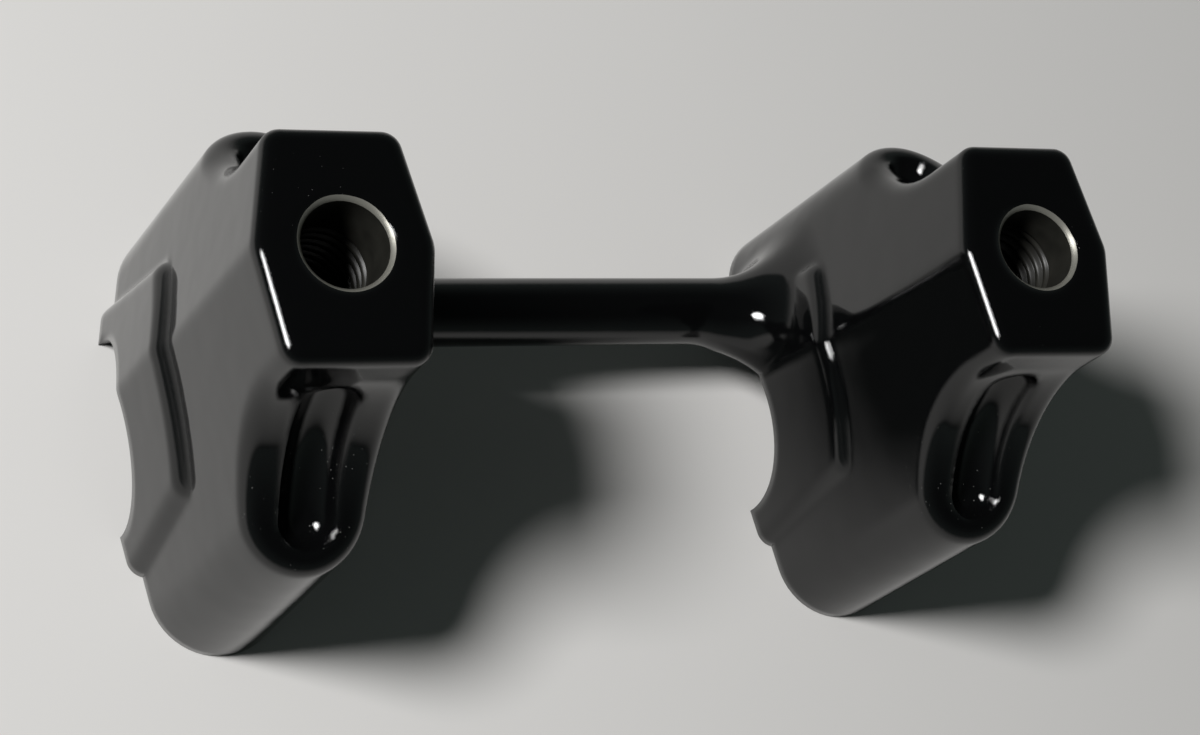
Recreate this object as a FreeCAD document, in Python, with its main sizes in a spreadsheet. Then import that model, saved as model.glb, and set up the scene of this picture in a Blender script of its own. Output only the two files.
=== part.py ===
"""Lower half of a motorcycle handlebar clamp: two risers joined by a round tie bar, one aluminium casting.

The part stands on its two parting faces with the tapped feet upwards. X runs along the tie bar, from riser
to riser, Y runs from ear to ear, Z = 0 is the parting plane and the handlebar's axis is the X axis.
"""
import FreeCAD
import Part
import math
import os
import Sketcher
from FreeCAD import Rotation, Vector

# Driving dimensions in millimetres and degrees.
DIMENSIONS = {
    "foot_spacing": 88.9,         # between the axes of the two foot bolts
    "riser_height": 62.0,         # parting plane to the foot faces
    "foot_width": 21.0,           # across the two side ridges, at the foot face
    "foot_length": 27.2,          # flat end to flat end, at the foot face
    "foot_offset": 2.5,           # axis of the foot bolt away from the handlebar's axis
    "side_draft": 1.7,            # of the facets and the ear ends
    "ear_reach": 28.5,            # handlebar axis to the end of an ear, at the parting plane
    "ear_end_radius": 8.7,        # full round end of an ear, at the parting plane
    "ridge_radius": 4.0,          # rounding of the two side ridges
    "near_cove_start": 6.0,       # straight flat below the foot face, before the near cove
    "far_cove_start": 8.5,        # straight flat below the foot face, before the far cove
    "cove_radius": 20.0,          # hollow that flares from the foot out to the ear
    "rim_radius": 2.4,            # rounding all along the edge of a cove
    "foot_edge_radius": 1.4,      # rounding round the foot face
    "pad_raise": 1.5,             # side pad above the facets that it stands on
    "pad_height": 29.3,           # crown of a side pad above the parting plane
    "pad_top_reach": 14.2,        # half length of a side pad at its upper corners
    "pad_foot_reach": 18.0,       # half length of a side pad at the parting plane
    "pad_corner_radius": 3.5,     # rounding of its upper corners
    "pad_edge_radius": 2.5,       # rounding of its outer edge
    "handlebar_radius": 12.7,     # one inch handlebar
    "tie_radius": 4.5,            # round bar that joins the risers
    "tie_offset": 12.5,           # its axis away from the handlebar's axis
    "tie_height": 12.0,           # its axis above the parting plane
    "tie_fillet": 12.0,           # where it runs into a riser
    "groove_radius": 3.6,         # section of the groove in a cove
    "groove_depth": 3.0,          # below the surface of the cove
    "groove_top_angle": 17.0,     # centre of its upper end, round the cove
    "near_groove_angle": 62.0,    # centre of its lower end, round the near cove
    "far_groove_angle": 46.0,     # centre of its lower end, round the far cove
    "foot_hole_radius": 5.1,      # tapped for a 12 mm bolt
    "foot_hole_depth": 30.0,      # foot face to the end of its wall
    "foot_hole_chamfer": 0.6,     # at its mouth, both ways
    "cap_hole_radius": 3.4,       # tapped for an 8 mm bolt
    "cap_hole_depth": 22.0,       # parting plane to the end of its wall
    "cap_hole_chamfer": 0.6,      # at its mouth, both ways
    "cap_hole_spacing": 40.0,     # between the two cap bolts of one riser
    "drill_point": 59.0,          # half angle of the cone at the bottom of a hole
}

doc = FreeCAD.newDocument("handlebar_clamp")
sheet = doc.addObject("Spreadsheet::Sheet", "sheet")
for row, (alias, value) in enumerate(DIMENSIONS.items(), start=1):
    sheet.set(f"A{row}", alias)
    sheet.set(f"B{row}", str(value))
    sheet.setAlias(f"B{row}", alias)
doc.recompute()

# Sizes that follow from the driving ones.
CENTRE = "(sheet.foot_spacing / 2)"
BASE_HALF_WIDTH = "(sheet.foot_width / 2 + sheet.riser_height * tan(sheet.side_draft))"
EAR_CENTRE = "(sheet.ear_reach - sheet.ear_end_radius)"
TIE_ROOT = "(sheet.tie_radius + sheet.tie_fillet)"
GROOVE_PATH = "(sheet.cove_radius + sheet.groove_depth - sheet.groove_radius)"
COVE_SIDES = {"far": 1, "near": -1}

# A sketch's own origin and axes, and the room that a cutting outline leaves round the part.
ORIGIN = (-1, 1)
X_AXIS = -1
CLEAR = 6.0


def size(expression):
    """The number that an expression of the sheet's cells gives."""
    result = sheet.evalExpression(expression.replace("sheet.", ""))
    return float(getattr(result, "Value", result))


def cove_end(name):
    """Where the flat end of the foot, and so the cove below it, starts along Y."""
    return f"(sheet.foot_length / 2 {'+' if COVE_SIDES[name] > 0 else '-'} sheet.foot_offset)"


def cove_centre(name):
    """Height of the cove's axis."""
    return f"(sheet.riser_height - sheet.{name}_cove_start)"


def origin_plane(body, role):
    return next(item for item in body.Origin.OriginFeatures if item.Role == role)


def new_sketch(body, name, role, offset=None):
    """An empty sketch on an origin plane, moved along the plane's own x, y and z by expressions."""
    sketch = body.newObject("Sketcher::SketchObject", name)
    sketch.AttachmentSupport = [(origin_plane(body, role), "")]
    sketch.MapMode = "FlatFace"
    for axis, expression in (offset or {}).items():
        sketch.setExpression(f"AttachmentOffset.Base.{axis}", expression)
    return sketch


def set_distance(sketch, kind, first, second, expression):
    """A horizontal or vertical distance from the first point to the second, which lies further along."""
    constraint = Sketcher.Constraint(kind, *first, *second, size(expression))
    sketch.setExpression(f"Constraints[{sketch.addConstraint(constraint)}]", expression)


def set_radius(sketch, curve, expression):
    constraint = Sketcher.Constraint("Radius", curve, size(expression))
    sketch.setExpression(f"Constraints[{sketch.addConstraint(constraint)}]", expression)


def add_lines(sketch, points, closed=True):
    """A run of lines joined end to end; line i starts at point i."""
    ends = points[1:] + points[:1] if closed else points[1:]
    lines = [sketch.addGeometry(Part.LineSegment(Vector(*a), Vector(*b))) for a, b in zip(points, ends)]
    for line, following in zip(lines, lines[1:] + lines[:1] if closed else lines[1:]):
        sketch.addConstraint(Sketcher.Constraint("Coincident", line, 2, following, 1))
    return lines


def add_feature(body, kind, name, **bound):
    """A feature of the body, with the properties in bound tied to expressions."""
    feature = body.newObject(f"PartDesign::{kind}", name)
    for prop, expression in bound.items():
        feature.setExpression(prop, expression)
    return feature


def cut_through(body, name, sketch):
    """Cuts a sketch through the whole body, both ways."""
    pocket = add_feature(body, "Pocket", name)
    pocket.Profile = sketch
    pocket.Type = "ThroughAll"
    pocket.SideType = "Symmetric"
    doc.recompute()


def round_edges(body, name, radius, picks):
    """A fillet on each edge of the body that picks(edge, its faces) accepts."""
    doc.recompute()
    base = body.Tip
    shape = base.Shape
    edges = [f"Edge{number}" for number, edge in enumerate(shape.Edges, start=1)
             if picks(edge, shape.ancestorsOfType(edge, Part.Face))]
    fillet = add_feature(body, "Fillet", name, Radius=radius)
    fillet.Base = (base, edges)
    doc.recompute()


def middle(edge):
    return edge.valueAt((edge.FirstParameter + edge.LastParameter) / 2)


def is_level(face):
    return isinstance(face.Surface, Part.Plane) and abs(face.Surface.Axis.z) > 0.9999


def runs_along_x(face):
    """A face that was cut or padded along X."""
    surface = face.Surface
    if isinstance(surface, Part.Cylinder):
        return abs(surface.Axis.x) > 0.9999
    return isinstance(surface, Part.Plane) and abs(surface.Axis.x) < 0.0001


def on_one_side(test):
    """Picks an edge between a face that passes the test and one that doesn't."""
    return lambda edge, faces: [test(face) for face in faces].count(True) == 1


def drafted_block(body, name, grow):
    """Block with a ridge along each side and a full round ear at each end, drafted towards the foot.

    Its outline stands outside the riser's own by grow, and it runs below the parting plane by as much as the
    root of the tie bar could reach.
    """
    half_width = f"({BASE_HALF_WIDTH} + {grow})"
    end_radius = f"(sheet.ear_end_radius + {grow})"
    centre = size(CENTRE)
    ridge = size("sheet.foot_offset")
    end = size(end_radius)
    ear = size(EAR_CENTRE)
    right = Vector(centre + size(half_width), ridge)
    left = Vector(centre - size(half_width), ridge)
    arcs = {}
    for side, way in COVE_SIDES.items():
        reach = ear - way * ridge
        span = math.hypot(size(half_width), reach)
        turn = math.acos(end / span) - math.atan2(reach, size(half_width))
        circle = Part.Circle(Vector(centre, way * ear), Vector(0, 0, 1), end)
        first = turn if way > 0 else math.pi + turn
        arcs[side] = Part.ArcOfCircle(circle, first, first + math.pi - 2 * turn)
    sketch = new_sketch(body, f"{name}_outline", "XY_Plane")
    right_far, far_end, left_far, left_near, near_end, right_near = sketch.addGeometry([
        Part.LineSegment(right, arcs["far"].StartPoint), arcs["far"],
        Part.LineSegment(arcs["far"].EndPoint, left),
        Part.LineSegment(left, arcs["near"].StartPoint), arcs["near"],
        Part.LineSegment(arcs["near"].EndPoint, right)])
    sketch.addConstraint([
        Sketcher.Constraint("Tangent", right_far, 2, far_end, 1),
        Sketcher.Constraint("Tangent", far_end, 2, left_far, 1),
        Sketcher.Constraint("Coincident", left_far, 2, left_near, 1),
        Sketcher.Constraint("Tangent", left_near, 2, near_end, 1),
        Sketcher.Constraint("Tangent", near_end, 2, right_near, 1),
        Sketcher.Constraint("Coincident", right_near, 2, right_far, 1),
        Sketcher.Constraint("Horizontal", right_far, 1, left_far, 2),
        Sketcher.Constraint("Symmetric", far_end, 3, near_end, 3, X_AXIS),
        Sketcher.Constraint("Equal", far_end, near_end),
    ])
    set_distance(sketch, "DistanceX", ORIGIN, (far_end, 3), CENTRE)
    set_distance(sketch, "DistanceX", (far_end, 3), (right_far, 1), half_width)
    set_distance(sketch, "DistanceX", (left_far, 2), (far_end, 3), half_width)
    set_distance(sketch, "DistanceY", ORIGIN, (right_far, 1), "sheet.foot_offset")
    set_distance(sketch, "DistanceY", ORIGIN, (far_end, 3), EAR_CENTRE)
    set_radius(sketch, far_end, end_radius)
    block = add_feature(body, "Pad", f"{name}_block", Length="sheet.riser_height", Length2=TIE_ROOT)
    block.Profile = sketch
    block.SideType = "Two sides"
    doc.recompute()
    draft = add_feature(body, "Draft", f"{name}_draft", Angle="sheet.side_draft")
    draft.Base = (block, [f"Face{number}" for number, face in enumerate(block.Shape.Faces, start=1)
                          if not is_level(face)])
    draft.NeutralPlane = (origin_plane(body, "XY_Plane"), [""])
    round_edges(body, f"{name}_ridges", "sheet.ridge_radius",
                lambda edge, faces: not any(is_level(face) for face in faces)
                and abs(middle(edge).y - ridge) < 0.5)


def is_tie(face):
    surface = face.Surface
    return isinstance(surface, Part.Cylinder) and abs(surface.Axis.x) > 0.9999 \
        and abs(surface.Radius - size("sheet.tie_radius")) < 0.001


def cut_parting_plane(body, name):
    """Cuts away what lies below the parting plane."""
    sketch = new_sketch(body, f"{name}_parting_outline", "XY_Plane")
    reach = size("sheet.foot_spacing")
    near_side, right_side, far_side, left_side = add_lines(sketch, [
        (0, -reach), (reach, -reach), (reach, reach), (0, reach)])
    sketch.addConstraint([
        Sketcher.Constraint("Horizontal", near_side),
        Sketcher.Constraint("Vertical", right_side),
        Sketcher.Constraint("Horizontal", far_side),
        Sketcher.Constraint("Vertical", left_side),
        Sketcher.Constraint("Symmetric", near_side, 1, far_side, 2, *ORIGIN),
    ])
    set_distance(sketch, "DistanceX", ORIGIN, (right_side, 1), "sheet.foot_spacing")
    set_distance(sketch, "DistanceY", ORIGIN, (far_side, 1), "sheet.foot_spacing")
    cut = add_feature(body, "Pocket", f"{name}_parting")
    cut.Profile = sketch
    cut.Type = "ThroughAll"
    doc.recompute()


# Side pads: an arched pad stands proud of each side of the riser, over the handlebar. The two are the
# ends of one block that runs through the riser.
pads = doc.addObject("PartDesign::Body", "side_pads")
drafted_block(pads, "pad", "sheet.pad_raise")
cut_parting_plane(pads, "pad")
crown = size("sheet.pad_height")
ridge = size("sheet.foot_offset")
far_turn = math.asin((size("sheet.pad_top_reach") - ridge) / crown)
near_turn = math.asin((size("sheet.pad_top_reach") + ridge) / crown)
arch = Part.ArcOfCircle(Part.Circle(Vector(ridge, 0), Vector(0, 0, 1), crown),
                        math.pi / 2 - far_turn, math.pi / 2 + near_turn)
foot = size("sheet.pad_foot_reach")
aside = size("sheet.ear_reach") + CLEAR
above = size("sheet.riser_height") + CLEAR
around = new_sketch(pads, "pad_surround", "YZ_Plane")
right_side, right_floor, right_wall, lid, left_wall, left_floor, left_side = add_lines(around, [
    arch.StartPoint, (foot, 0), (aside, 0), (aside, above), (-aside, above), (-aside, 0), (-foot, 0),
    arch.EndPoint], closed=False)
top = around.addGeometry(arch)
around.addConstraint([
    Sketcher.Constraint("Coincident", top, 1, right_side, 1),
    Sketcher.Constraint("Coincident", top, 2, left_side, 2),
    Sketcher.Constraint("PointOnObject", top, 3, X_AXIS),
    Sketcher.Constraint("PointOnObject", right_floor, 1, X_AXIS),
    Sketcher.Constraint("PointOnObject", left_floor, 2, X_AXIS),
    Sketcher.Constraint("Horizontal", right_floor),
    Sketcher.Constraint("Horizontal", left_floor),
    Sketcher.Constraint("Horizontal", lid),
    Sketcher.Constraint("Vertical", right_wall),
    Sketcher.Constraint("Vertical", left_wall),
])
set_radius(around, top, "sheet.pad_height")
set_distance(around, "DistanceX", ORIGIN, (top, 3), "sheet.foot_offset")
set_distance(around, "DistanceX", ORIGIN, (right_side, 1), "sheet.pad_top_reach")
set_distance(around, "DistanceX", (left_side, 2), ORIGIN, "sheet.pad_top_reach")
set_distance(around, "DistanceX", ORIGIN, (right_floor, 1), "sheet.pad_foot_reach")
set_distance(around, "DistanceX", (left_floor, 2), ORIGIN, "sheet.pad_foot_reach")
set_distance(around, "DistanceX", ORIGIN, (right_wall, 1), f"sheet.ear_reach + {CLEAR}")
set_distance(around, "DistanceX", (left_wall, 1), ORIGIN, f"sheet.ear_reach + {CLEAR}")
set_distance(around, "DistanceY", ORIGIN, (lid, 1), f"sheet.riser_height + {CLEAR}")
cut_through(pads, "pad_trim", around)
round_edges(pads, "pad_corners", "sheet.pad_corner_radius",
            lambda edge, faces: all(runs_along_x(face) for face in faces) and middle(edge).z > CLEAR)
round_edges(pads, "pad_edges", "sheet.pad_edge_radius",
            lambda edge, faces: on_one_side(runs_along_x)(edge, faces) and middle(edge).z > 0.001)

# Riser: its block, with half of the tie bar from the middle of the part and the bar's flared root.
clamp = doc.addObject("PartDesign::Body", "clamp_body")
clamp.Label = "clamp_body"
drafted_block(clamp, "riser", "0")
tie_sketch = new_sketch(clamp, "tie_section", "YZ_Plane")
tie_circle = tie_sketch.addGeometry(Part.Circle(Vector(size("sheet.tie_offset"), size("sheet.tie_height")),
                                                Vector(0, 0, 1), size("sheet.tie_radius")))
set_distance(tie_sketch, "DistanceX", ORIGIN, (tie_circle, 3), "sheet.tie_offset")
set_distance(tie_sketch, "DistanceY", ORIGIN, (tie_circle, 3), "sheet.tie_height")
set_radius(tie_sketch, tie_circle, "sheet.tie_radius")
tie = add_feature(clamp, "Pad", "tie_bar", Length=CENTRE)
tie.Profile = tie_sketch
round_edges(clamp, "tie_root", "sheet.tie_fillet",
            lambda edge, faces: on_one_side(is_tie)(edge, faces) and middle(edge).x > CLEAR)
cut_parting_plane(clamp, "riser")

# Coves: one cut above each ear, so that the narrow foot stands between them.
hollow = size("sheet.cove_radius")
for name, way in COVE_SIDES.items():
    inner = size(cove_end(name))
    axis = way * (inner + hollow)
    start = size(cove_centre(name))
    outer = axis + way * CLEAR
    sketch = new_sketch(clamp, f"{name}_cove_outline", "YZ_Plane")
    quarter = (math.pi, 1.5 * math.pi) if way > 0 else (1.5 * math.pi, 2 * math.pi)
    bend = sketch.addGeometry(Part.ArcOfCircle(Part.Circle(Vector(axis, start), Vector(0, 0, 1), hollow),
                                               *quarter))
    flat, lid, wall, ledge = add_lines(sketch, [
        (way * inner, start), (way * inner, above), (outer, above), (outer, start - hollow),
        (axis, start - hollow)], closed=False)
    upper, lower = (1, 2) if way > 0 else (2, 1)
    sketch.addConstraint([
        Sketcher.Constraint("Tangent", bend, upper, flat, 1),
        Sketcher.Constraint("Tangent", bend, lower, ledge, 2),
        Sketcher.Constraint("Vertical", flat),
        Sketcher.Constraint("Horizontal", lid),
        Sketcher.Constraint("Vertical", wall),
        Sketcher.Constraint("Horizontal", ledge),
    ])
    set_distance(sketch, "DistanceX", *(ORIGIN, (flat, 1))[::way], cove_end(name))
    set_distance(sketch, "DistanceX", *((bend, 3), (wall, 1))[::way], f"{CLEAR}")
    set_distance(sketch, "DistanceY", ORIGIN, (bend, 3), cove_centre(name))
    set_distance(sketch, "DistanceY", ORIGIN, (lid, 1), f"sheet.riser_height + {CLEAR}")
    set_radius(sketch, bend, "sheet.cove_radius")
    cut_through(clamp, f"{name}_cove", sketch)
round_edges(clamp, "cove_rims", "sheet.rim_radius",
            lambda edge, faces: on_one_side(runs_along_x)(edge, faces)
            and not any(is_level(face) or is_tie(face) for face in faces))

# Foot: the edge all round its face.
round_edges(clamp, "foot_edge", "sheet.foot_edge_radius",
            lambda edge, faces: abs(middle(edge).z - size("sheet.riser_height")) < 0.001)

# The pads join the riser, and the handlebar's seat is cut through both.
joined = clamp.newObject("PartDesign::Boolean", "riser_with_pads")
joined.setObjects([pads])
joined.Type = "Fuse"
doc.recompute()
seat_sketch = new_sketch(clamp, "seat_section", "YZ_Plane")
seat_circle = seat_sketch.addGeometry(Part.Circle(Vector(0, 0), Vector(0, 0, 1),
                                                  size("sheet.handlebar_radius")))
seat_sketch.addConstraint(Sketcher.Constraint("Coincident", seat_circle, 3, *ORIGIN))
set_radius(seat_sketch, seat_circle, "sheet.handlebar_radius")
cut_through(clamp, "seat", seat_sketch)

# Grooves: one along each cove, with full round ends.
begin = math.radians(size("sheet.groove_top_angle"))
for name, way in COVE_SIDES.items():
    axis_y = f"{way} * ({cove_end(name)} + sheet.cove_radius)"
    ends = {"top": "sheet.groove_top_angle", "end": f"sheet.{name}_groove_angle"}
    bend = add_feature(clamp, "SubtractiveTorus", f"{name}_groove", Radius1=GROOVE_PATH,
                       Radius2="sheet.groove_radius", Angle3=f"{ends['end']} - {ends['top']}")
    start = Vector(0, -way * math.cos(begin), -math.sin(begin))
    along = Vector(way, 0, 0)
    bend.Placement.Rotation = Rotation(start, along.cross(start), along, "ZXY")
    bend.setExpression("Placement.Base.x", CENTRE)
    bend.setExpression("Placement.Base.y", axis_y)
    bend.setExpression("Placement.Base.z", cove_centre(name))
    for end, angle in ends.items():
        ball = add_feature(clamp, "SubtractiveSphere", f"{name}_groove_{end}", Radius="sheet.groove_radius")
        ball.setExpression("Placement.Base.x", CENTRE)
        ball.setExpression("Placement.Base.y", f"{axis_y} - {way} * {GROOVE_PATH} * cos({angle})")
        ball.setExpression("Placement.Base.z", f"{cove_centre(name)} - {GROOVE_PATH} * sin({angle})")
    doc.recompute()


def drilled_hole(name, hole, position, way):
    """A blind hole with a chamfered mouth and a drill point, cut along Z from its position."""
    sketch = new_sketch(clamp, f"{name}_section", "XZ_Plane", position)
    radius = f"sheet.{hole}_radius"
    depth = f"sheet.{hole}_depth"
    chamfer = f"sheet.{hole}_chamfer"
    point = f"{radius} / tan(sheet.drill_point)"
    mouth, slope, bore, cone, axis = add_lines(sketch, [
        (0, 0), (size(radius) + size(chamfer), 0), (size(radius), way * size(chamfer)),
        (size(radius), way * size(depth)), (0, way * (size(depth) + size(point)))])
    sketch.addConstraint([
        Sketcher.Constraint("Coincident", mouth, 1, *ORIGIN),
        Sketcher.Constraint("Horizontal", mouth),
        Sketcher.Constraint("Vertical", bore),
        Sketcher.Constraint("Vertical", axis),
    ])
    set_distance(sketch, "DistanceX", ORIGIN, (bore, 1), radius)
    set_distance(sketch, "DistanceX", (bore, 1), (slope, 1), chamfer)
    set_distance(sketch, "DistanceY", *((slope, 1), (bore, 1))[::way], chamfer)
    set_distance(sketch, "DistanceY", *(ORIGIN, (bore, 2))[::way], depth)
    set_distance(sketch, "DistanceY", *((bore, 2), (cone, 2))[::way], point)
    cut = add_feature(clamp, "Groove", name)
    cut.Profile = sketch
    cut.ReferenceAxis = (sketch, ["V_Axis"])
    cut.Angle = 360
    doc.recompute()


# Holes: one down into the foot, and one up into each ear for the bolts of the clamp's cap.
drilled_hole("foot_hole", "foot_hole",
             {"x": CENTRE, "y": "sheet.riser_height", "z": "-sheet.foot_offset"}, -1)
drilled_hole("far_cap_hole", "cap_hole", {"x": CENTRE, "z": "-sheet.cap_hole_spacing / 2"}, 1)
drilled_hole("near_cap_hole", "cap_hole", {"x": CENTRE, "z": "sheet.cap_hole_spacing / 2"}, 1)

# The other riser, with its half of the tie bar, is the mirror image.
whole = add_feature(clamp, "Mirrored", "both_risers")
whole.TransformMode = "Whole shape"
whole.MirrorPlane = (origin_plane(clamp, "YZ_Plane"), [""])
clamp.Tip = whole
doc.recompute()

for item in doc.Objects:
    if "Invalid" in item.State or "Error" in item.State:
        raise RuntimeError(f"{item.Name} did not build: {item.State}")
if clamp.Shape.isNull() or not clamp.Shape.isValid() or len(clamp.Shape.Solids) != 1:
    raise RuntimeError("the casting is not one valid solid")

os.makedirs("parts", exist_ok=True)
clamp.Shape.exportStep(f"parts/{clamp.Label}.step")
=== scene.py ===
"""Handlebar clamp: a gloss black casting that lies on its parting faces, on a plain pale floor."""
import bmesh
import bpy
import math
import numpy as np
from mathutils import Matrix


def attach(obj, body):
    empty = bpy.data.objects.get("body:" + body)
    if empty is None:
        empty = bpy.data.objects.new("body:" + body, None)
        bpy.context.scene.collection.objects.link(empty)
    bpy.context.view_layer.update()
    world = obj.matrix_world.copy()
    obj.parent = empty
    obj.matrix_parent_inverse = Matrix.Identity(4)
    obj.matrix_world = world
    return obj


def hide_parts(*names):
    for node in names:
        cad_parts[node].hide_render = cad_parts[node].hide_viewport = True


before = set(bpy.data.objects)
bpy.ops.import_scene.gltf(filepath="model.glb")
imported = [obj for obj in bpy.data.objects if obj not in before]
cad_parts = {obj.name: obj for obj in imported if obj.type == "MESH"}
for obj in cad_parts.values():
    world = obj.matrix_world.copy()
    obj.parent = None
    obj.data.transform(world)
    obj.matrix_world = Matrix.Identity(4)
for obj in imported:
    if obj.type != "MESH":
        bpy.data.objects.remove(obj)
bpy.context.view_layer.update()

# CLAMP BODY
# One aluminium casting in a thick gloss black coat that runs smoothly over every edge. The
# chamfers of both foot holes are cut back to bare metal. Each hole starts smooth, and has a
# coarse 12 mm thread deeper down.
HOLE_X = 0.04445
HOLE_Y = 0.0025
HOLE_RADIUS = 0.0051
HOLE_TOP = 0.0614
HOLE_BOTTOM = 0.032
CHAMFER_RADIUS = 0.0057
THREAD_TOPS = {-HOLE_X: 0.0538, HOLE_X: 0.0562}
PITCH = 0.00175
THREAD_DEPTH = 0.0009
THREAD_CREST = 0.25
THREAD_FLANKS = 0.625
THREAD_RUN_OUT = 0.3 * PITCH
THREAD_COLUMNS = 64
THREAD_ROWS = 204
RIM_GAP = 0.00005


def thread_wall(centre_x, thread_top):
    """Helical wall: at angle a and height z the radius is the hole's, plus the depth times a
    flat-topped triangle wave of z / pitch - a / turn. The crest takes a quarter of the pitch, the
    two flanks five eighths and the root the rest. The depth runs out to nothing at the thread's
    top and at the bottom of the hole."""
    turn, height = np.meshgrid(
        np.arange(THREAD_COLUMNS) / THREAD_COLUMNS,
        np.linspace(HOLE_BOTTOM + RIM_GAP, HOLE_TOP - RIM_GAP, THREAD_ROWS))
    wave = np.abs(2 * ((height / PITCH - turn) % 1) - 1)
    flank = np.clip((wave - THREAD_CREST) / THREAD_FLANKS, 0, 1)
    from_end = np.minimum(thread_top - height, height - HOLE_BOTTOM - RIM_GAP)
    radius = HOLE_RADIUS + THREAD_DEPTH * flank * np.clip(from_end / THREAD_RUN_OUT, 0, 1)
    angle = 2 * np.pi * turn
    points = np.stack([centre_x + radius * np.cos(angle),
                       HOLE_Y + radius * np.sin(angle), height], axis=-1)
    row, column = np.meshgrid(np.arange(THREAD_ROWS - 1), np.arange(THREAD_COLUMNS), indexing="ij")
    here = row * THREAD_COLUMNS + column
    beside = row * THREAD_COLUMNS + (column + 1) % THREAD_COLUMNS
    faces = np.stack([here, here + THREAD_COLUMNS, beside + THREAD_COLUMNS, beside], axis=-1)
    mesh = bpy.data.meshes.new("thread_wall")
    mesh.from_pydata(points.reshape(-1, 3).tolist(), [], faces.reshape(-1, 4).tolist())
    mesh.polygons.foreach_set("material_index", np.ones(len(mesh.polygons), dtype=np.int32))
    return mesh


WELD_DISTANCE = 2e-6
WALL_TOLERANCE = 2e-5
RIM_TOLERANCE = 1.5 * RIM_GAP
SHARP_ANGLE = math.radians(28)


def on_hole_wall(point):
    """Whether a point lies on the plain wall of a foot hole: at the hole's radius from its axis,
    between its bottom and its chamfer."""
    from_axis = math.hypot(abs(point.x) - HOLE_X, point.y - HOLE_Y)
    return (abs(from_axis - HOLE_RADIUS) < WALL_TOLERANCE
            and HOLE_BOTTOM - WALL_TOLERANCE < point.z < HOLE_TOP + WALL_TOLERANCE)


def at_rim(point, centre_x, level):
    """Whether a point is on that hole's side of the part, and within a rim's gap of that level."""
    return point.x * centre_x > 0 and abs(point.z - level) < RIM_TOLERANCE


body_mesh = bmesh.new()
body_mesh.from_mesh(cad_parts["clamp_body"].data)
bmesh.ops.remove_doubles(body_mesh, verts=body_mesh.verts, dist=WELD_DISTANCE)
# The plain walls of the foot holes make way for the threaded ones, sewn in at both ends.
plain_walls = [face for face in body_mesh.faces
               if all(on_hole_wall(vert.co) for vert in face.verts)]
bmesh.ops.delete(body_mesh, geom=plain_walls, context="FACES")
for centre_x, thread_top in THREAD_TOPS.items():
    wall = thread_wall(centre_x, thread_top)
    body_mesh.from_mesh(wall)
    bpy.data.meshes.remove(wall)
    for level in (HOLE_TOP, HOLE_BOTTOM):
        rims = [edge for edge in body_mesh.edges if edge.is_boundary
                and all(at_rim(vert.co, centre_x, level) for vert in edge.verts)]
        bmesh.ops.bridge_loops(body_mesh, edges=rims)
bmesh.ops.recalc_face_normals(body_mesh, faces=body_mesh.faces)
for face in body_mesh.faces:
    face.smooth = True
for edge in body_mesh.edges:
    in_thread = any(face.material_index for face in edge.link_faces)
    edge.smooth = in_thread or (edge.is_manifold and edge.calc_face_angle() < SHARP_ANGLE)
coated_mesh = bpy.data.meshes.new("clamp_coated")
body_mesh.to_mesh(coated_mesh)
body_mesh.free()
clamp = bpy.data.objects.new("clamp_coated", coated_mesh)
bpy.context.scene.collection.objects.link(clamp)
weighted = clamp.modifiers.new("even_normals", "WEIGHTED_NORMAL")
weighted.mode = "FACE_AREA"
weighted.weight = 80
weighted.keep_sharp = True

coat = bpy.data.materials.new("gloss_black_coat")
coat.use_nodes = True
coat_nodes = coat.node_tree.nodes
coat_links = coat.node_tree.links
coat_shader = coat_nodes["Principled BSDF"]
coat_shader.inputs["IOR"].default_value = 1.5
coat_place = coat_nodes.new("ShaderNodeTexCoord")
# The coat fills the inner corners and rounds the outer ones.
coat_corner = coat_nodes.new("ShaderNodeBevel")
coat_corner.samples = 8
coat_corner.inputs["Radius"].default_value = 0.0019
# A very shallow swell in the coat, about 6 mm across, bends what it mirrors.
swell = coat_nodes.new("ShaderNodeTexNoise")
swell.inputs["Scale"].default_value = 160.0
swell.inputs["Detail"].default_value = 1.0
coat_links.new(coat_place.outputs["Object"], swell.inputs["Vector"])
swell_bump = coat_nodes.new("ShaderNodeBump")
swell_bump.inputs["Strength"].default_value = 0.05
swell_bump.inputs["Distance"].default_value = 0.001
coat_links.new(swell.outputs["Fac"], swell_bump.inputs["Height"])
coat_links.new(coat_corner.outputs["Normal"], swell_bump.inputs["Normal"])
coat_links.new(swell_bump.outputs["Normal"], coat_shader.inputs["Normal"])
# Dust: single specks near 0.1 mm, sparse in broad patches and thicker in the two near coves.
NEAR_COVE = (HOLE_X, -0.019, 0.040)
speck = coat_nodes.new("ShaderNodeTexVoronoi")
speck.inputs["Scale"].default_value = 1150.0
coat_links.new(coat_place.outputs["Object"], speck.inputs["Vector"])
speck_near = coat_nodes.new("ShaderNodeMath")
speck_near.operation = "LESS_THAN"
speck_near.inputs[1].default_value = 0.06
coat_links.new(speck.outputs["Distance"], speck_near.inputs[0])
patch = coat_nodes.new("ShaderNodeTexNoise")
patch.inputs["Scale"].default_value = 60.0
coat_links.new(coat_place.outputs["Object"], patch.inputs["Vector"])
patch_dusty = coat_nodes.new("ShaderNodeMapRange")
patch_dusty.inputs["From Min"].default_value = 0.58
patch_dusty.inputs["From Max"].default_value = 0.9
coat_links.new(patch.outputs["Fac"], patch_dusty.inputs["Value"])
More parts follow.
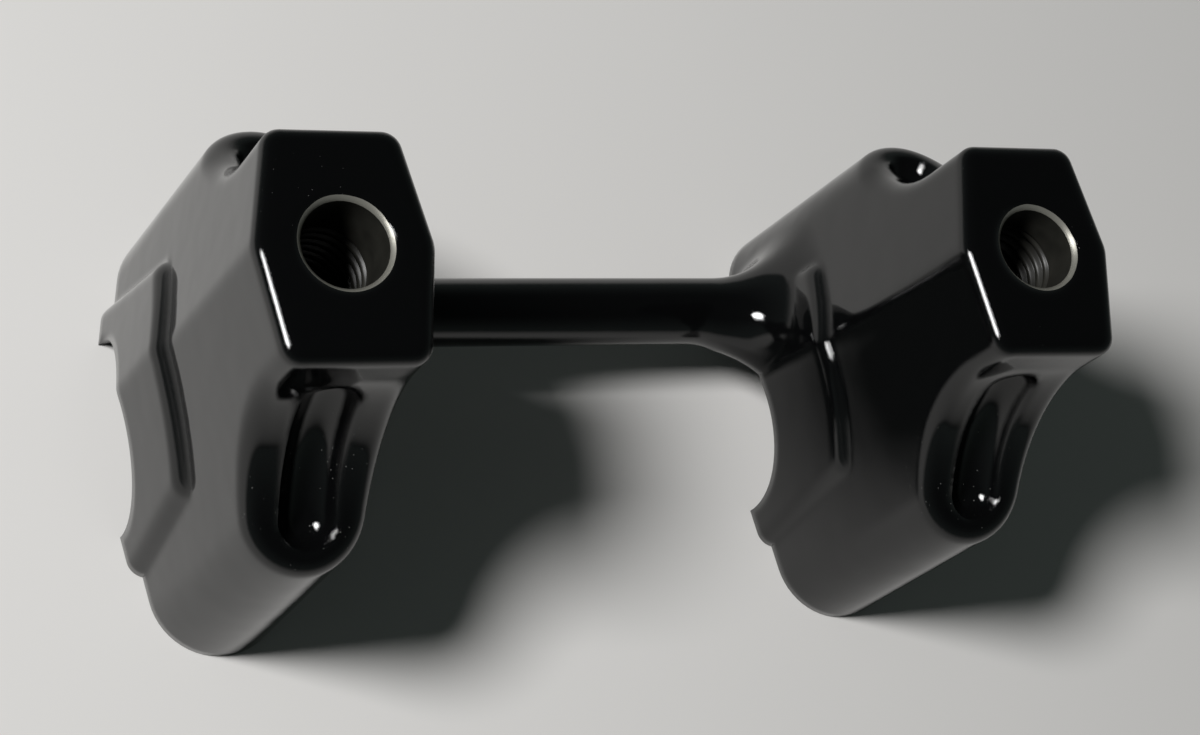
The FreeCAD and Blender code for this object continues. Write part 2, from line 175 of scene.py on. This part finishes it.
# The two risers mirror each other, so X counts without its sign.
place_split = coat_nodes.new("ShaderNodeSeparateXYZ")
coat_links.new(coat_place.outputs["Object"], place_split.inputs["Vector"])
either_side = coat_nodes.new("ShaderNodeMath")
either_side.operation = "ABSOLUTE"
coat_links.new(place_split.outputs["X"], either_side.inputs[0])
folded_place = coat_nodes.new("ShaderNodeCombineXYZ")
coat_links.new(either_side.outputs["Value"], folded_place.inputs["X"])
coat_links.new(place_split.outputs["Y"], folded_place.inputs["Y"])
coat_links.new(place_split.outputs["Z"], folded_place.inputs["Z"])
cove_distance = coat_nodes.new("ShaderNodeVectorMath")
cove_distance.operation = "DISTANCE"
cove_distance.inputs[1].default_value = NEAR_COVE
coat_links.new(folded_place.outputs["Vector"], cove_distance.inputs[0])
cove_dusty = coat_nodes.new("ShaderNodeMapRange")
cove_dusty.inputs["From Min"].default_value = 0.012
cove_dusty.inputs["From Max"].default_value = 0.006
coat_links.new(cove_distance.outputs["Value"], cove_dusty.inputs["Value"])
dusty = coat_nodes.new("ShaderNodeMath")
dusty.operation = "MAXIMUM"
coat_links.new(patch_dusty.outputs["Result"], dusty.inputs[0])
coat_links.new(cove_dusty.outputs["Result"], dusty.inputs[1])
dust = coat_nodes.new("ShaderNodeMath")
dust.operation = "MULTIPLY"
coat_links.new(speck_near.outputs["Value"], dust.inputs[0])
coat_links.new(dusty.outputs["Value"], dust.inputs[1])
coat_colour = coat_nodes.new("ShaderNodeMix")
coat_colour.data_type = "RGBA"
coat_colour.inputs["A"].default_value = (0.0025, 0.0026, 0.0028, 1)
coat_colour.inputs["B"].default_value = (0.25, 0.25, 0.24, 1)
coat_links.new(dust.outputs["Value"], coat_colour.inputs["Factor"])
coat_rough = coat_nodes.new("ShaderNodeMapRange")
coat_rough.inputs["To Min"].default_value = 0.05
coat_rough.inputs["To Max"].default_value = 0.6
coat_links.new(dust.outputs["Value"], coat_rough.inputs["Value"])
# Bare metal: within the chamfer's outer radius of either hole's axis, above the hole's wall. The
# cut is not quite even: a shallow noise moves its edge by up to 0.2 mm.
CUT_EDGE_LEAST = CHAMFER_RADIUS - 0.0002
CUT_EDGE_MOST = CHAMFER_RADIUS + 0.00003
MOUTH_LEVEL = HOLE_TOP - 0.0001
hole_level = coat_nodes.new("ShaderNodeCombineXYZ")
coat_links.new(either_side.outputs["Value"], hole_level.inputs["X"])
coat_links.new(place_split.outputs["Y"], hole_level.inputs["Y"])
hole_distance = coat_nodes.new("ShaderNodeVectorMath")
hole_distance.operation = "DISTANCE"
hole_distance.inputs[1].default_value = (HOLE_X, HOLE_Y, 0)
coat_links.new(hole_level.outputs["Vector"], hole_distance.inputs[0])
cut_waver = coat_nodes.new("ShaderNodeTexNoise")
cut_waver.inputs["Scale"].default_value = 220.0
coat_links.new(coat_place.outputs["Object"], cut_waver.inputs["Vector"])
cut_edge = coat_nodes.new("ShaderNodeMapRange")
cut_edge.inputs["To Min"].default_value = CUT_EDGE_LEAST
cut_edge.inputs["To Max"].default_value = CUT_EDGE_MOST
coat_links.new(cut_waver.outputs["Fac"], cut_edge.inputs["Value"])
in_ring = coat_nodes.new("ShaderNodeMath")
in_ring.operation = "LESS_THAN"
coat_links.new(hole_distance.outputs["Value"], in_ring.inputs[0])
coat_links.new(cut_edge.outputs["Result"], in_ring.inputs[1])
at_mouth = coat_nodes.new("ShaderNodeMath")
at_mouth.operation = "GREATER_THAN"
at_mouth.inputs[1].default_value = MOUTH_LEVEL
coat_links.new(place_split.outputs["Z"], at_mouth.inputs[0])
bare = coat_nodes.new("ShaderNodeMath")
bare.operation = "MULTIPLY"
coat_links.new(in_ring.outputs["Value"], bare.inputs[0])
coat_links.new(at_mouth.outputs["Value"], bare.inputs[1])
bare_colour = coat_nodes.new("ShaderNodeMix")
bare_colour.data_type = "RGBA"
bare_colour.inputs["B"].default_value = (0.36, 0.35, 0.31, 1)
coat_links.new(bare.outputs["Value"], bare_colour.inputs["Factor"])
coat_links.new(coat_colour.outputs["Result"], bare_colour.inputs["A"])
coat_links.new(bare_colour.outputs["Result"], coat_shader.inputs["Base Color"])
bare_rough = coat_nodes.new("ShaderNodeMix")
bare_rough.inputs["B"].default_value = 0.36
coat_links.new(bare.outputs["Value"], bare_rough.inputs["Factor"])
coat_links.new(coat_rough.outputs["Result"], bare_rough.inputs["A"])
coat_links.new(bare_rough.outputs["Result"], coat_shader.inputs["Roughness"])
bare_metal = coat_nodes.new("ShaderNodeMath")
bare_metal.operation = "MULTIPLY"
bare_metal.inputs[1].default_value = 0.6
coat_links.new(bare.outputs["Value"], bare_metal.inputs[0])
coat_links.new(bare_metal.outputs["Value"], coat_shader.inputs["Metallic"])
# The walls of the foot holes are nearly black too, and greyer in patches of old oil.
thread_metal = bpy.data.materials.new("oily_thread")
thread_metal.use_nodes = True
thread_nodes = thread_metal.node_tree.nodes
thread_links = thread_metal.node_tree.links
thread_shader = thread_nodes["Principled BSDF"]
thread_place = thread_nodes.new("ShaderNodeTexCoord")
thread_oil = thread_nodes.new("ShaderNodeTexNoise")
thread_oil.inputs["Scale"].default_value = 300.0
thread_links.new(thread_place.outputs["Object"], thread_oil.inputs["Vector"])
thread_tone = thread_nodes.new("ShaderNodeMix")
thread_tone.data_type = "RGBA"
thread_tone.inputs["A"].default_value = (0.008, 0.008, 0.007, 1)
thread_tone.inputs["B"].default_value = (0.034, 0.033, 0.028, 1)
thread_links.new(thread_oil.outputs["Fac"], thread_tone.inputs["Factor"])
thread_links.new(thread_tone.outputs["Result"], thread_shader.inputs["Base Color"])
thread_shader.inputs["Specular IOR Level"].default_value = 0.22
thread_shader.inputs["Roughness"].default_value = 0.34
clamp.data.materials.append(coat)
clamp.data.materials.append(thread_metal)
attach(clamp, "root")
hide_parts("clamp_body")

# FLOOR
# A plain pale sheet of paper, a little warm, that the clamp lies on and that its walls mirror. It
# is laid a hair below the parting faces, so that the two never share a plane.
FLOOR_HALF = 3.0
FLOOR_LEVEL = -0.0001
floor_mesh = bpy.data.meshes.new("floor")
floor_mesh.from_pydata([(x * FLOOR_HALF, y * FLOOR_HALF, FLOOR_LEVEL)
                        for x, y in ((-1, -1), (1, -1), (1, 1), (-1, 1))], [], [(0, 1, 2, 3)])
floor = bpy.data.objects.new("floor", floor_mesh)
bpy.context.scene.collection.objects.link(floor)
paper = bpy.data.materials.new("pale_paper")
paper.use_nodes = True
paper_nodes = paper.node_tree.nodes
paper_links = paper.node_tree.links
paper_shader = paper_nodes["Principled BSDF"]
paper_place = paper_nodes.new("ShaderNodeTexCoord")
paper_tone = paper_nodes.new("ShaderNodeTexNoise")
paper_tone.inputs["Scale"].default_value = 9.0
paper_links.new(paper_place.outputs["Object"], paper_tone.inputs["Vector"])
paper_mix = paper_nodes.new("ShaderNodeMix")
paper_mix.data_type = "RGBA"
paper_mix.inputs["A"].default_value = (0.80, 0.785, 0.765, 1)
paper_mix.inputs["B"].default_value = (0.84, 0.825, 0.805, 1)
paper_links.new(paper_tone.outputs["Fac"], paper_mix.inputs["Factor"])
paper_links.new(paper_mix.outputs["Result"], paper_shader.inputs["Base Color"])
paper_shader.inputs["Roughness"].default_value = 0.9
paper_shader.inputs["Specular IOR Level"].default_value = 0.1
floor.data.materials.append(paper)

# LIGHT
# A soft round lamp up on the left throws the shadows to the right. The room round it is dim near
# the ground and almost dark overhead.
LAMP_DISTANCE = 0.9
lamp_data = bpy.data.lights.new("lamp", "AREA")
lamp_data.shape = "DISK"
lamp_data.size = 0.23
lamp_data.energy = 7.4
lamp = bpy.data.objects.new("lamp", lamp_data)
lamp_from = np.array([-0.652, 0.085, 0.75])
lamp_from = lamp_from / np.linalg.norm(lamp_from)
lamp.location = lamp_from * LAMP_DISTANCE
lamp_side = np.cross([0, 0, 1], lamp_from)
lamp_side = lamp_side / np.linalg.norm(lamp_side)
lamp_up = np.cross(lamp_from, lamp_side)
lamp.rotation_euler = Matrix(np.stack([lamp_side, lamp_up, lamp_from], axis=1).tolist()).to_euler()
bpy.context.scene.collection.objects.link(lamp)
room = bpy.data.worlds.new("room")
room.use_nodes = True
room_nodes = room.node_tree.nodes
room_links = room.node_tree.links
room_place = room_nodes.new("ShaderNodeTexCoord")
room_split = room_nodes.new("ShaderNodeSeparateXYZ")
room_links.new(room_place.outputs["Generated"], room_split.inputs["Vector"])
room_height = room_nodes.new("ShaderNodeMapRange")
room_height.inputs["From Min"].default_value = 0.1
room_height.inputs["From Max"].default_value = 0.75
room_height.inputs["To Min"].default_value = 0.125
room_height.inputs["To Max"].default_value = 0.02
room_links.new(room_split.outputs["Z"], room_height.inputs["Value"])
room_nodes["Background"].inputs["Color"].default_value = (0.72, 0.86, 0.82, 1)
room_links.new(room_height.outputs["Result"], room_nodes["Background"].inputs["Strength"])
bpy.context.scene.world = room

# CAMERA
# Above and to the left of the near side, looking down across both feet. The three directions are
# the picture's right, its top and the way back from it.
camera_data = bpy.data.cameras.new("camera")
camera_data.sensor_width = 36.0
camera_data.lens = 77.8
camera_data.clip_start = 0.01
camera = bpy.data.objects.new("camera", camera_data)
camera_right = np.array([0.9067, -0.1485, 0.3948])
camera_up = np.array([0.0143, 0.9462, 0.3232])
camera_back = np.array([-0.4216, -0.2874, 0.8600])
camera_turn = Matrix(np.stack([camera_right, camera_up, camera_back], axis=1).tolist())
camera.rotation_mode = "QUATERNION"
camera.rotation_quaternion = camera_turn.to_quaternion()
camera.location = (-0.1375, -0.0943, 0.3080)
bpy.context.scene.collection.objects.link(camera)
bpy.context.scene.camera = camera
bpy.context.scene.view_settings.view_transform = "Standard"
